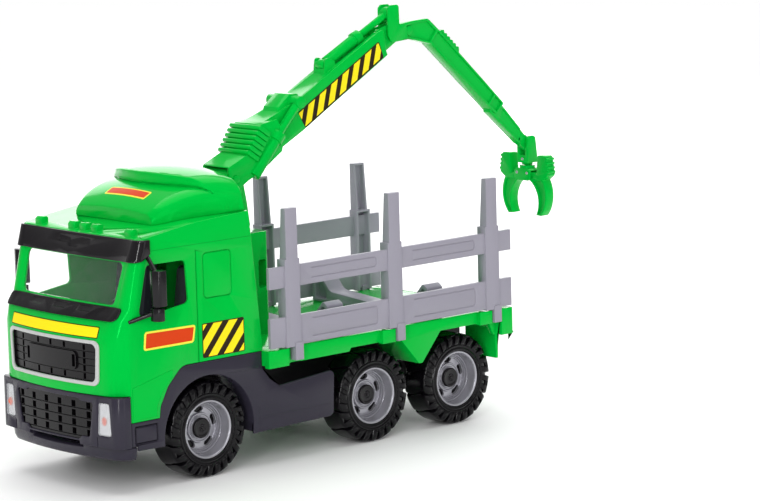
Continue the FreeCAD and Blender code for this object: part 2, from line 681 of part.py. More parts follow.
def make_cradle(x):
    """Saddle across the bed with raised ends, which keeps the logs apart from the stakes."""
    front = [(-76, bed_top), (-76, 124, 3), (-70, 128, 3), (-52, 108, 10), (0, 104, 60), (52, 108, 10),
             (70, 128, 3), (76, 124, 3), (76, bed_top)]
    solid = along_x(front, (x - 9, x + 9))
    pocket = along_x([(57, bed_top + 3, 2), (72, bed_top + 3, 2), (72, 122, 1), (69, 123.5, 1), (57, 108, 2)],
                     (x + 4, x + 10))
    return solid.cut([pocket, mirrored(pocket)])


pieces["log_cradle_front"] = make_cradle(-142.5)
pieces["log_cradle_rear"] = make_cradle(-257.9)


def make_stake(x):
    """Channel open to the inside, on a broader socket below the upper rail's top."""
    def channel(half, low, high, deep_low, deep_high):
        body = along_x([(stake_face, low), (stake_face, high), (stake_face - deep_high, high),
                        (stake_face - deep_low, low)], (x - half, x + half))
        hollow = along_x([(stake_face - 2.2, low), (stake_face - 2.2, high - 2), (0, high - 2), (0, low)],
                         (x - half + 2, x + half - 2))
        return body.cut(hollow)

    upper = channel(6.4, 170, stake_top, 9, 5.8)
    socket = channel(8, bed_top + 0.6, 172, 10.5, 10.5)
    hook = along_y([(x - 9, 86.5), (x - 9, bed_top + 4), (x - 0.4, bed_top + 4), (x - 0.4, 86.5)],
                   (bed_half - 1.2, stake_face + 1.2))
    return fuse(upper, socket, hook)


def make_panel():
    rails = []
    for low, high in ((99, 124), (148.5, 166.5)):
        rail = box((panel_rear, panel_front), (stake_face - 5.2, stake_face - 1.6), (low, high))
        rails.append(rail)
    grooves = []
    for front, back in ((stake_x[0], stake_x[1]), (stake_x[1], stake_x[2])):
        for low, high in ((99, 124), (148.5, 166.5)):
            face = (stake_face - 2.3, stake_face)
            edge = (front - 22, back + 20)
            outer = along_y([(edge[0], low + 5), (edge[1], low + 5, 3), (edge[1], high - 4, 3), (edge[0], high - 4)],
                            face)
            inner = along_y([(edge[0] + 1, low + 5.9), (edge[1] + 0.9, low + 5.9, 2.2),
                             (edge[1] + 0.9, high - 4.9, 2.2), (edge[0] + 1, high - 4.9)], face)
            grooves.append(outer.cut(inner))
    stakes = [make_stake(x) for x in stake_x]
    return fuse(*rails, *stakes).cut(grooves)


both_sides("stake_panel", make_panel())


# ---------------------------------------------------------------- crane
def make_column():
    x, z = boom_pivot
    turret = Part.makeCylinder(17, 5, V(slew_x, 0, pedestal_top + 0.3), V(0, 0, 1))
    neck = along_y([(slew_x - 15, pedestal_top + 5), (slew_x - 12, 212), (x - 9, z), (x, z + 9), (x + 9, z),
                    (slew_x + 12, 212), (slew_x + 15, pedestal_top + 5)], (-15, 15))
    eye = cross_rod(boom_pivot, 15, 9.5)
    core = neck.common(box((x - 40, x + 40), (-15, 15), (pedestal_top, z)))
    trunnion = cross_rod(boom_pivot, root_half + 1, 3.5)
    return fuse(turret, core, eye, trunnion)


pieces["crane_column"] = make_column()


ram_length = math.dist(horn_pivot, foot_pivot)


def beside_ram(along, above):
    """(x, z) point at a distance from the ram's foot along its axis, and above it."""
    run = (horn_pivot[0] - foot_pivot[0]) / ram_length
    rise = (horn_pivot[1] - foot_pivot[1]) / ram_length
    return (foot_pivot[0] + run * along + rise * above, foot_pivot[1] + rise * along - run * above)


def make_boom():
    x, z = boom_pivot
    root = along_y([(x + 7, z - 3, 5), (x + 8, z + 11, 3), (x - 13, z + 20), (-116, 276, 3), (-134, 279),
                    (-147, 259), (-140, 255), (-139, 251), (-112, 234.5), (-101, 230), (x - 5.5, z - 7),
                    (x - 5.5, z - 13, 1.5), (x - 1, z - 13, 1.5), (x - 0.5, z - 8)], (-root_half, root_half))
    ribs = []
    for step in range(6):
        share = (step + 0.5) / 6
        front = V(-99.5 - 16.0 * share, 0, 251.5 + 23.5 * share)
        along = V(-0.563, 0, 0.827) * 2.0
        out = V(0.827, 0, 0.563)
        corners = [front + along + out * 2.4, front - along + out * 2.4, front - along - out * 12,
                   front + along - out * 12]
        radii = (1.8, 1.8, 0.8, 0.8)
        ribs.append(along_y([(corner.x, corner.z, radius) for corner, radius in zip(corners, radii)],
                            (-root_half - 2.6, root_half + 2.6)))
    beam = along_y([(-112, 245), (-118, 275, 6), (-163, 292.5), (-256, 342.5, 8), (-263.5, 345.2, 2), (-266.5, 326),
                    (-268, 322.3), (-168, 265.5), (-139, 251)], (-beam_half, beam_half))
    nose = fuse(along_y([(-250, 330), (-250, 312.1), (jib_pivot[0] - 4.4, jib_pivot[1] - 7.7),
                         (jib_pivot[0] + 1, jib_pivot[1] + tongue_radius - 0.1), (-258, 343)],
                        (-tongue_half, tongue_half)),
                cross_rod(jib_pivot, tongue_half, tongue_radius))
    housing = along_y([(-139, 278), (-142.5, 287.5, 2), (-155.5, 298, 3), (-164, 297.5, 2), (-170, 290)], (-10, 10))
    parts = [root, beam, nose, housing] + ribs
    for sign in (1, -1):
        y = sign * 16.0
        parts.append(rod((-107, y, 233), (-136, y, 266), 5.6))
        parts.append(rod((-133, y, 262.5), (-159.5, y, 291), 3.6))
        parts.append(rod((-159.5, sign * 10, 291), (-159.5, sign * 20.5, 291), 5.4))
        parts.append(rod((-131, y, 260.5), (-136.5, y, 266.5), 6.8))
    lugs = along_y([(foot_pivot[0] - 9, foot_pivot[1] - 8), (foot_pivot[0] - 7, foot_pivot[1] + 3.5, 3),
                    (foot_pivot[0] + 3.5, foot_pivot[1] + 7, 3), (foot_pivot[0] + 6, foot_pivot[1] - 13)],
                   (-eye_half - 2.6, eye_half + 2.6))
    body = fuse(*parts, lugs)
    slot = along_y([(x + 20, z - 30), (x + 20, z + 4), (x - 4, z + 16), (x - 17, z + 12), (x - 17, z - 30)],
                   (-15 - side_gap, 15 + side_gap))
    troughs = []
    for start, end, half in ((-5.4, 13, eye_half), (12, 62, collar_radius), (61, ram_length, rod_radius)):
        depth = collar_radius + 2
        corners = [beside_ram(start, -depth), beside_ram(end, -depth), beside_ram(end, 20), beside_ram(start, 20)]
        troughs.append(along_y(corners, (-half - side_gap, half + side_gap)))
    bores = [cross_rod(boom_pivot, 30, 3.5 + running_gap), cross_rod(jib_pivot, 30, 3.5 + running_gap)]
    body = body.cut([slot] + troughs + bores)
    return fuse(body, cross_rod(foot_pivot, eye_half + 1, 2.5))


pieces["boom"] = make_boom()


def along_ram(start, end, radius):
    """Cylinder on the ram's axis between two distances from its foot."""
    ends = [beside_ram(s, 0) for s in (start, end)]
    return rod((ends[0][0], 0, ends[0][1]), (ends[1][0], 0, ends[1][1]), radius)


def make_barrel():
    tube = along_ram(3, 40, 5.2)
    collar = along_ram(40, 47, collar_radius)
    eye = cross_rod(foot_pivot, eye_half, 5.0)
    bore = along_ram(9, 59, rod_radius + running_gap)
    return fuse(tube, collar, eye).cut([bore, cross_rod(foot_pivot, 20, 2.5 + running_gap)])


def make_ram():
    shaft = along_ram(24, ram_length, rod_radius)
    eye = cross_rod(horn_pivot, horn_gap - side_gap, 5.6)
    return fuse(shaft, eye).cut(cross_rod(horn_pivot, 20, horn_pin + eye_play))


pieces["cylinder_barrel"] = make_barrel()
pieces["cylinder_rod"] = make_ram()


def beside_arm(along, inward):
    """(x, z) point along the jib's upper edge from its bend, and inward from that edge."""
    return (-336 - 0.735 * along + 0.678 * inward, 338 - 0.678 * along - 0.735 * inward)


def make_jib():
    """I-beam with two cheeks and a horn at its upper end and a flat eye at its lower end."""
    x, z = jib_pivot
    arm = along_y([(x + 7, z - 2, 5), (x + 7, 362, 3), (x + 4, 365, 3), (x - 6, 365, 3), (x - 6.5, 347.5, 1),
                   (-306, 349.5, 30), (-322, 350, 5), (-336, 338), (-414, 266, 2), (-404, 257, 2),
                   (-326, 327, 6), (-311, 331, 6), (-298, 333.5, 3), (x + 3, z - 8, 4)], (-jib_half, jib_half))
    tip = along_y([(-398, 268), (-412, 266), (-446, 231, 3), (-455, 229, 4), (-454, 219, 4), (-445, 219, 4),
                   (-398, 259)], (-4.5, 4.5))
    pad = along_y([beside_arm(-1, 2), beside_arm(3, -3.4), beside_arm(31, -3.4), beside_arm(35, 2)], (-5, 5))
    ribs = [cross_rod(beside_arm(5 + 4.8 * step, -3), 5, 1.6) for step in range(6)]
    horn_slot = box((x - 20, x + 20), (-horn_gap, horn_gap), (z + 9, 400))
    half = tongue_half + side_gap
    reach = tongue_radius + 0.7
    throat = [cross_rod(jib_pivot, half, reach), box((x - reach, x + 30), (-half, half), (z - 30, z)),
              box((x, x + 30), (-half, half), (z - 1, z + reach))]
    fields = [[(-296, 345.6), (-307, 347.4), (-320.8, 347.8), (-331.2, 338.6), (-323.6, 329.4), (-311, 333),
               (-297, 335.8)],
              [beside_arm(-1.4, 1.6), beside_arm(91, 1.6), beside_arm(91, 11.8), beside_arm(-1.4, 13.2)],
              [beside_arm(93, 1.6), beside_arm(103.6, 1.6), beside_arm(103.6, 11.4), beside_arm(93, 11.7)]]
    recesses = []
    for sign in (1, -1):
        face = sorted((sign * (jib_half - 2.2), sign * (jib_half + 1)))
        recesses += [along_y(field, face) for field in fields]
        face = sorted((sign * 2.9, sign * jib_half))
        recesses.append(along_y([(-414.6, 261), (-438.9, 236.1), (-435, 229.6), (-410, 251)], face).cut(arm))
    body = fuse(arm, tip, pad, *ribs).cut([horn_slot] + throat + recesses)
    tongue = [box((-470, -436.5), sorted((sign * 3.2, sign * 9)), (205, 240)) for sign in (1, -1)]
    body = body.cut(tongue + [cross_rod(hanger_pivot, 20, 1.8 + running_gap)])
    boss = cross_rod((-299.5, 341), jib_half - 0.6, 4.2)
    return fuse(body, boss, cross_rod(jib_pivot, jib_half, 3.5), cross_rod(horn_pivot, 6.0, horn_pin))


pieces["jib"] = make_jib()


def make_hanger():
    x, z = hanger_pivot
    body = along_y([(x + 6.5, z - 17), (x + 6, z + 5, 3), (x + 3, z + 8, 4), (x - 4, z + 8, 4), (x - 7, z - 17)],
                   (-7, 7))
    slot = along_y([(x - 20, z - 10), (x + 20, z - 10), (x + 20, z + 30), (x - 20, z + 30)],
                   (-3.2 - side_gap, 3.2 + side_gap))
    waist = rod((x, 0, z - 19), (x, 0, z - 17), 5)
    stub = rod((x, 0, z - 23.8), (x, 0, z - 17), 2.5)
    return fuse(body.cut(slot), cross_rod(hanger_pivot, 7, 1.8), waist, stub)


pieces["grapple_hanger"] = make_hanger()


def make_head():
    x = hanger_pivot[0]
    top = 205.6
    crown = rod((x, 0, 200.8), (x, 0, top), 7)
    yoke = along_x([(-10, 192, 3), (10, 192, 3), (10, 201, 2), (7, 203, 2), (-7, 203, 2), (-10, 201, 2)],
                   (x - 7.5, x + 7.5))
    slot = box((x - 5.3, x + 5.3), (-20, 20), (180, 200.8))
    stub_bore = rod((x, 0, 190), (x, 0, top + 1), 2.5 + running_gap)
    pins = [rod((x - 6, sign * claw_pivot[0], claw_pivot[1]), (x + 6, sign * claw_pivot[0], claw_pivot[1]), 1.6)
            for sign in (1, -1)]
    return fuse(fuse(crown, yoke).cut([slot, stub_bore]), *pins)


pieces["grapple_head"] = make_head()


def make_claw():
    x = hanger_pivot[0]
    y, z = claw_pivot
    span = (x - 5, x + 5)
    tine = Part.Wire([
        Part.Arc(V(span[0], 23, 196), V(span[0], 28.3, 177), V(span[0], 21, 160)).toShape(),
        Part.LineSegment(V(span[0], 21, 160), V(span[0], 15, 160.5)).toShape(),
        Part.Arc(V(span[0], 15, 160.5), V(span[0], 17.8, 176), V(span[0], 9, 191)).toShape(),
        Part.LineSegment(V(span[0], 9, 191), V(span[0], 5, 193.2)).toShape(),
        Part.LineSegment(V(span[0], 5, 193.2), V(span[0], 5, 200.3)).toShape(),
        Part.LineSegment(V(span[0], 5, 200.3), V(span[0], 12, 198.5)).toShape(),
        Part.LineSegment(V(span[0], 12, 198.5), V(span[0], 23, 196)).toShape()])
    dish = Part.Wire([
        Part.Arc(V(span[0], 21.4, 192.5), V(span[0], 26.4, 177), V(span[0], 19.7, 162)).toShape(),
        Part.LineSegment(V(span[0], 19.7, 162), V(span[0], 16.9, 162.2)).toShape(),
        Part.Arc(V(span[0], 16.9, 162.2), V(span[0], 19.7, 176.3), V(span[0], 12.2, 191.2)).toShape(),
        Part.LineSegment(V(span[0], 12.2, 191.2), V(span[0], 21.4, 192.5)).toShape()])
    hollow = Part.Face(dish).extrude(V(1.6, 0, 0))
    hook = Part.Face(tine).extrude(V(10, 0, 0)).cut([hollow, moved(hollow, 8.4, 0, 0)])
    grip = along_x([(16, 195), (18, 216, 2), (28, 216, 3), (31, 198, 3), (24, 193)], span)
    ribs = [rod((span[0], 29.0 + 0.5 * step, 213 - 4 * step), (span[1], 29.0 + 0.5 * step, 213 - 4 * step), 1.2)
            for step in range(4)]
    boss = rod((span[0], y, z), (span[1], y, z), 3.4)
    return fuse(hook, grip, boss, *ribs).cut(rod((span[0] - 1, y, z), (span[1] + 1, y, z), 1.6 + running_gap))


both_sides("claw", make_claw())

# ---------------------------------------------------------------- placing and export
whole = Part.makeCompound(list(pieces.values())).optimalBoundingBox(False, False)
shift = V(-(whole.XMin + whole.XMax) / 2, 0, -whole.ZMin)
os.makedirs("parts", exist_ok=True)
for name, shape in pieces.items():
    shape.translate(shift)
    if not shape.isValid() or len(shape.Solids) != 1:
        print("CHECK", name, shape.isValid(), len(shape.Solids))
    shape.exportStep(f"parts/{name}.step")
print(len(pieces), "pieces")
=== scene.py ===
import json
import math

import bmesh
import bpy
from mathutils import Matrix, Vector
from mathutils.bvhtree import BVHTree

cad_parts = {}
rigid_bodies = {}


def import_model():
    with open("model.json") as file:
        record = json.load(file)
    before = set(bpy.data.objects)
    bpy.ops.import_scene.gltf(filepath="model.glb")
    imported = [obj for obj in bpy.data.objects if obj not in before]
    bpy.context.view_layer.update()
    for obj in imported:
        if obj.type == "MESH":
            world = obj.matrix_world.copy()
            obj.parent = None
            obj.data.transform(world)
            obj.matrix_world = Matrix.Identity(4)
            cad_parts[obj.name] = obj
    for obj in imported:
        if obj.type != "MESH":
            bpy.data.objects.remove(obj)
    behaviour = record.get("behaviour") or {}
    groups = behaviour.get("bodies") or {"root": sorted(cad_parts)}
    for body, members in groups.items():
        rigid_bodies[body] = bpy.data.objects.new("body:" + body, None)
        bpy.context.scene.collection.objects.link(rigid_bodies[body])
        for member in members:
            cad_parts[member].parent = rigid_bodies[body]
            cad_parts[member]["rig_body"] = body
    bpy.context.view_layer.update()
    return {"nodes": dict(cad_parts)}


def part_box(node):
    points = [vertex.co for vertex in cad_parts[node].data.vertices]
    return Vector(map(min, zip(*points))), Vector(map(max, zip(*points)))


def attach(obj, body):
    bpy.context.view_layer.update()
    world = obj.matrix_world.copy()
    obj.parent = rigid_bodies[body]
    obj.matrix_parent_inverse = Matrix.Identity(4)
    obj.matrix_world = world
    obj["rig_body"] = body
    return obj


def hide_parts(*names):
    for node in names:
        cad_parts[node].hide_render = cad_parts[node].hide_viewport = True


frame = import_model()
nodes = frame["nodes"]

# the datum lies on the ground below the front axle
axleHeight = 0.040
low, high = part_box("axle_front")
datum = Vector(((low[0] + high[0]) / 2, 0, (low[2] + high[2]) / 2 - axleHeight))
print("truck loaded:", len(nodes), "nodes")


# shader helpers
def rgb(red, green, blue):
    # screen colour 0-255 to linear
    shades = (red, green, blue)
    return (*[part / 3294.6 if part <= 10 else ((part / 255 + 0.055) / 1.055) ** 2.4 for part in shades], 1)


class Wire:
    # an output socket that can be added and multiplied
    def __init__(self, finish, socket):
        self.finish = finish
        self.socket = socket

    def maths(self, operation, first, second):
        return self.finish.node("ShaderNodeMath", {"operation": operation}, {0: first, 1: second})

    def __add__(self, other):
        return self.maths("ADD", self, other)

    def __radd__(self, other):
        return self.maths("ADD", other, self)

    def __mul__(self, other):
        return self.maths("MULTIPLY", self, other)

    def __rmul__(self, other):
        return self.maths("MULTIPLY", other, self)


class Finish:
    # a material and the nodes that make it
    def __init__(self, name):
        self.material = bpy.data.materials.new(name)
        self.material.use_nodes = True
        self.tree = self.material.node_tree
        self.shader = next(n for n in self.tree.nodes if n.type == "BSDF_PRINCIPLED")

    def node(self, kind, settings, inputs, output=0):
        made = self.tree.nodes.new(kind)
        for setting, value in settings.items():
            setattr(made, setting, value)
        for socket, value in inputs.items():
            self.plug(made.inputs[socket], value)
        return Wire(self, made.outputs[output])

    def plug(self, socket, value):
        if isinstance(value, Wire):
            self.tree.links.new(value.socket, socket)
        else:
            socket.default_value = value

    def surface(self, **inputs):
        for name, value in inputs.items():
            self.plug(self.shader.inputs[name.replace("_", " ")], value)

    def noise(self, scale, detail, roughness):
        place = self.node("ShaderNodeTexCoord", {}, {}, "Object")
        return self.node("ShaderNodeTexNoise", {}, {"Vector": place, "Scale": scale, "Detail": detail,
                                                    "Roughness": roughness})

    def blend(self, factor, first, second):
        # 6, 7 and 2 are the Mix node's colour sockets
        return self.node("ShaderNodeMix", {"data_type": "RGBA"}, {0: factor, 6: first, 7: second}, 2)

    def bump(self, height, distance):
        return self.node("ShaderNodeBump", {}, {"Height": height, "Distance": distance, "Strength": 1.0})


# moulded plastics
greenSheen = rgb(40, 235, 110)      # tint of what the green ones reflect
plastics = {
    # colour, colour of the flow marks, roughness, grain height in mm, specular level, what else differs
    "greenGloss": ((0, 187, 63), (0, 182, 58), 0.13, 0.006, 0.36, {"Specular_Tint": greenSheen}),
    # the next colour is painted shade: a darker green for the shade in the moulding's grooves
    "grooveShadeGreen": ((0, 128, 44), (0, 122, 40), 0.4, 0.006, 0.2, {"Specular_Tint": greenSheen}),
    "slateSatin": ((48, 45, 57), (44, 41, 53), 0.20, 0.008, 0.22, {}),
    # the next colour is painted shade: a darker slate for the shade in the fender's grooves and folds
    "grooveShadeSlate": ((36, 34, 44), (33, 31, 41), 0.4, 0.006, 0.2, {}),
    "stakeGrey": ((152, 149, 161), (147, 144, 156), 0.36, 0.008, 0.3, {}),
    "cradleGrey": ((140, 138, 150), (134, 132, 144), 0.40, 0.010, 0.3, {}),
    "rimGrey": ((168, 167, 174), (162, 161, 169), 0.2, 0.006, 0.45, {"Metallic": 0.55}),
    "frameSilver": ((190, 192, 190), (184, 186, 184), 0.24, 0.006, 0.5, {}),
    "blackGloss": ((18, 15, 19), (15, 12, 16), 0.12, 0.003, 0.3, {}),
    "blackSatin": ((20, 18, 21), (17, 15, 18), 0.22, 0.006, 0.28, {}),
    "grilleBlack": ((14, 12, 15), (11, 9, 12), 0.26, 0.008, 0.26, {}),
    "chassisBlack": ((22, 21, 24), (18, 17, 20), 0.45, 0.012, 0.25, {}),
    "interiorBlack": ((74, 76, 88), (67, 69, 80), 0.5, 0.012, 0.3, {}),
    "tyreBlack": ((11, 9, 13), (8, 7, 10), 0.20, 0.008, 0.2, {}),
}
mouldMarks = {
    # noise scale, detail and roughness
    "flow": (28, 3, 0.55),
    "smudge": (95, 4, 0.6),
    "grain": (2600, 2, 0.5),
    "wave": (60, 1, 0.4),
}


def makePlastic(name, colour, flow, roughness, grain, specular, others):
    finish = Finish(name)
    marks, smudge, fine, wave = [finish.noise(*values) for values in mouldMarks.values()]
    finish.surface(Base_Color=finish.blend(marks, rgb(*colour), rgb(*flow)),
                   Roughness=smudge * 0.10 + (roughness - 0.05),
                   Specular_IOR_Level=specular,
                   Normal=finish.bump(fine * grain + wave * grain * 3, 0.001),
                   **others)
    return finish.material


materials = {name: makePlastic(name, *values) for name, values in plastics.items()}


# steel, foils and clear parts
def makeSteel():
    finish = Finish("zincSteel")
    brushed = finish.noise(900, 3, 0.6)
    finish.surface(Base_Color=finish.blend(brushed, rgb(190, 190, 192), rgb(164, 164, 168)), Metallic=1.0,
                   Roughness=brushed * 0.2 + 0.2, Normal=finish.bump(brushed, 0.00001))
    return finish.material


def makeFoil(name, colour):
    # printed foil with a faint mottle
    finish = Finish(name)
    mottle = finish.noise(420, 3, 0.6)
    worn = tuple(channel * 0.94 for channel in colour[:3]) + (1,)
    finish.surface(Base_Color=finish.blend(mottle, colour, worn), Roughness=mottle * 0.08 + 0.3,
                   Specular_IOR_Level=0.15, Normal=finish.bump(finish.noise(150, 2, 0.5), 0.00002))
    return finish.material


def makeClear(name, tint, roughness, cover):
    # thin clear plastic: what lies behind shows through most of it
    finish = Finish(name)
    haze = finish.noise(180, 3, 0.6)
    finish.surface(Base_Color=tint, Roughness=haze * 0.05 + roughness, Alpha=haze * 0.04 + cover)
    return finish.material


def makeReflector():
    finish = Finish("lampSilver")
    flutes = finish.noise(700, 2, 0.5)
    finish.surface(Base_Color=finish.blend(flutes, rgb(214, 214, 216), rgb(188, 189, 192)), Metallic=0.35,
                   Roughness=flutes * 0.15 + 0.2)
    return finish.material


foilColours = {
    "labelYellow": (255, 233, 22),
    "labelBrown": (38, 26, 6),
    "labelOrange": (216, 62, 2),
    "labelGold": (246, 236, 72),
    "lampOrange": (226, 84, 18),     # the bulbs in the headlights look the same
}
for name, colour in foilColours.items():
    materials[name] = makeFoil(name, rgb(*colour))
materials["zincSteel"] = makeSteel()
materials["screenClear"] = makeClear("screenClear", rgb(216, 222, 224), 0.04, 0.02)
materials["lampClear"] = makeClear("lampClear", rgb(232, 234, 238), 0.05, 0.3)
materials["lampSilver"] = makeReflector()
print("materials ready")


# mesh helpers
def addPiece(name, shape, material, body, sharp=34, replaces=()):
    # finished piece with smooth faces; an edge that turns by more than sharp, in degrees, stays sharp
    for face in shape.faces:
        face.smooth = True
    for edge in shape.edges:
        if len(edge.link_faces) == 2 and edge.calc_face_angle() > math.radians(sharp):
            edge.smooth = False
    mesh = bpy.data.meshes.new(name)
    shape.to_mesh(mesh)
    shape.free()
    piece = bpy.data.objects.new(name, mesh)
    bpy.context.scene.collection.objects.link(piece)
    mesh.materials.append(materials[material])
    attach(piece, body)
    if replaces:
        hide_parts(*replaces)
    return piece


def finishEdges(piece, width, segments=2):
    # rounds the edges, with the width in mm
    bevel = piece.modifiers.new("edges", "BEVEL")
    bevel.width = width / 1000
    bevel.segments = segments
    bevel.limit_method = "ANGLE"
    bevel.angle_limit = math.radians(32)
    bevel.use_clamp_overlap = False
    bevel.harden_normals = True
    bevel.miter_outer = "MITER_ARC"


def moulding(node):
    # the CAD node's shape with its triangles joined and its flat faces whole again
    shape = bmesh.new()
    shape.from_mesh(nodes[node].data)
    bmesh.ops.remove_doubles(shape, verts=shape.verts, dist=2e-6)
    bmesh.ops.dissolve_limit(shape, angle_limit=math.radians(0.8), use_dissolve_boundaries=False,
                             verts=shape.verts, edges=shape.edges)
    return shape


def thicken(shape, step):
    # moves a copy of a shape's faces by a step, with walls between the two, and returns the copy's corners
    grown = bmesh.ops.extrude_face_region(shape, geom=shape.faces[:], use_keep_orig=True)["geom"]
    corners = [item for item in grown if isinstance(item, bmesh.types.BMVert)]
    bmesh.ops.translate(shape, vec=step, verts=corners)
    return corners


def spun(outline, steps, closed=True):
    # turns an outline of distances across and radii, in mm, about the wheels' axis
    shape = bmesh.new()
    corners = [shape.verts.new((radius / 1000, across / 1000, 0)) for across, radius in outline]
    lines = [shape.edges.new((corners[i - 1], corners[i])) for i in range(0 if closed else 1, len(corners))]
    bmesh.ops.spin(shape, geom=corners + lines, axis=(0, 1, 0), angle=2 * math.pi, steps=steps,
                   use_merge=True)
    bmesh.ops.remove_doubles(shape, verts=shape.verts, dist=1e-6)
    bmesh.ops.recalc_face_normals(shape, faces=shape.faces)
    return shape


def everything(shape):
    return shape.verts[:] + shape.edges[:] + shape.faces[:]


def meshOf(shape):
    mesh = bpy.data.meshes.new("part")
    shape.to_mesh(mesh)
    shape.free()
    return mesh


def merged(first, second):
    # both shapes in the first
    mesh = meshOf(second)
    first.from_mesh(mesh)
    bpy.data.meshes.remove(mesh)
    return first


def carved(body, tool):
    # one shape less another
    meshes = [meshOf(body), meshOf(tool)]
    solid, knife = [bpy.data.objects.new("part", mesh) for mesh in meshes]
    for item in (solid, knife):
        bpy.context.scene.collection.objects.link(item)
    cut = solid.modifiers.new("cut", "BOOLEAN")
    cut.object = knife
    cut.solver = "EXACT"
    bpy.context.view_layer.update()
    meshes.append(bpy.data.meshes.new_from_object(solid.evaluated_get(bpy.context.evaluated_depsgraph_get())))
    shape = bmesh.new()
    shape.from_mesh(meshes[-1])
    for item in (solid, knife):
        bpy.data.objects.remove(item)
    for mesh in meshes:
        bpy.data.meshes.remove(mesh)
    return shape


# mouldings
def dress(node, material, slot, width):
    # the CAD moulding again, with its edges rounded as a mould leaves them, or plain at a width of 0
    piece = addPiece(node + "_moulding", moulding(node), material, nodes[node]["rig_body"],
                     sharp=180 if width else 25, replaces=(node,))
    if width:
        finishEdges(piece, width)


dressing = {
    # finish, material slot, edge radius in mm
    "cab": ("greenGloss", "body_green", 0.45),
    "roof_deflector": ("greenGloss", "body_green", 0.6),
    "bed": ("greenGloss", "body_green", 0.35),
    "crane_column": ("greenGloss", "body_green", 0.4),
    "boom": ("greenGloss", "body_green", 0.45),
    "cylinder_barrel": ("greenGloss", "body_green", 0.3),
    "cylinder_rod": ("greenGloss", "body_green", 0.25),
    "jib": ("greenGloss", "body_green", 0.4),
    "grapple_hanger": ("greenGloss", "body_green", 0.35),
    "grapple_head": ("greenGloss", "body_green", 0.3),
    "claw_left": ("greenGloss", "body_green", 0.4),
    "claw_right": ("greenGloss", "body_green", 0.4),
    "front_bumper": ("slateSatin", "dark_grey", 0.5),
    "lower_grille": ("grilleBlack", "dark_grey", 0),
    "fender_left": ("slateSatin", "dark_grey", 0.8),
    "fender_right": ("slateSatin", "dark_grey", 0.8),
    "sun_visor": ("blackGloss", "gloss_black", 0.5),
    "cowl": ("blackSatin", "gloss_black", 0.4),
    "grille_frame": ("frameSilver", "mid_grey", 0.4),
    "upper_grille": ("grilleBlack", "gloss_black", 0),
    "mirror_left": ("blackSatin", "gloss_black", 0.5),
    "mirror_right": ("blackSatin", "gloss_black", 0.5),
    "cab_interior": ("interiorBlack", "interior_grey", 0.6),
    "steering_wheel": ("interiorBlack", "interior_grey", 0.2),
    "stake_panel_left": ("stakeGrey", "mid_grey", 0.35),
    "stake_panel_right": ("stakeGrey", "mid_grey", 0.35),
    "log_cradle_front": ("cradleGrey", "mid_grey", 0.5),
    "log_cradle_rear": ("cradleGrey", "mid_grey", 0.5),
    "tow_hitch": ("chassisBlack", "chassis_black", 0.3),
    "chassis": ("chassisBlack", "chassis_black", 0.3),
    "windscreen": ("screenClear", "screen_clear", 0.2),
}
for node, values in dressing.items():
    dress(node, *values)


grilleOpening = ((60, -57.6, 90.6), (110, 57.6, 122.9))     # two corners in mm from the datum


def paintOpeningShade(piece, low, high, material):
    # the walls of an opening that faces forward, between two corners, take another finish as painted shade:
    # the cab's walls in the grille recess are coloured black for the shade inside it
    piece.data.materials.append(materials[material])
    for face in piece.data.polygons:
        place = (face.center - datum) * 1000
        if abs(face.normal.x) < 0.5 and all(a < b < c for a, b, c in zip(low, place, high)):
            face.material_index = 1


paintOpeningShade(bpy.data.objects["cab_moulding"], *grilleOpening, "grilleBlack")
print("mouldings dressed")


# tyres
tyreLook = {
    # in mm; shares are of the tread's run, from 0 in the middle to 1 on the sidewall
    "radius": 40.0,
    "steps": 104,            # faces round the carcass
    "bars": 13,              # wide wavy bars, each split in two at the shoulders
    "columns": 22,           # faces across a bar
    "wave": 2.1,             # how far a bar swings along the tread
    "swing": 1.15,           # half waves from the middle to the sidewall
    "gap": (1.7, 4.3),       # groove between two bars, in the middle and at the shoulder
    "widening": 1.5,         # how soon the groove gets there
    "pocket": 0.66,          # share at which the split starts
    "closing": 0.12,         # part of its width that the split loses
    "lug": 2.5,              # depth of a bar
    "shoulder": 0.55,        # share at which the bars turn down to the sidewall
    "footIn": 0.45,          # how far a bar's foot lies inside it there, as a part of its depth
    "footDown": 0.4,         # how much deeper the foot lies on the tread
    "edge": 0.55,
}
# half of the tread's run from the middle to the sidewall: distance across, radius
treadRun = [(0, 40.0), (4, 40.0), (8, 39.9), (11, 39.75), (12.8, 39.0), (13.9, 37.4), (14.35, 35.4),
            (14.45, 33.4), (14.25, 32.0)]
# half of the carcass, from the middle of the tread to the bead
carcassRun = [(0, 37.7), (9, 37.5), (11.0, 36.4), (12.2, 34.5), (12.9, 32.2), (13.1, 30.2), (13.9, 29.6),
              (13.9, 28.6), (13.5, 27.9), (13.9, 27.2), (14.3, 26.4), (14.1, 25.4), (13.4, 24.7),
              (12.4, 24.5)]
# dark wall behind the rim's slots: painted shade, a black sheet that stands for the shade inside the wheel
# seen through the slots
slotShadeRun = [(-1.65, 7.1), (-1.65, 20.2), (-3.4, 20.2), (-3.4, 7.1)]


def alongRun(run, share):
    # point at a share of a run's length
    lengths = [math.dist(first, second) for first, second in zip(run, run[1:])]
    left = share * sum(lengths)
    for length, first, second in zip(lengths, run, run[1:]):
        if left <= length or second == run[-1]:
            part = left / length
            return first[0] + (second[0] - first[0]) * part, first[1] + (second[1] - first[1]) * part
        left -= length


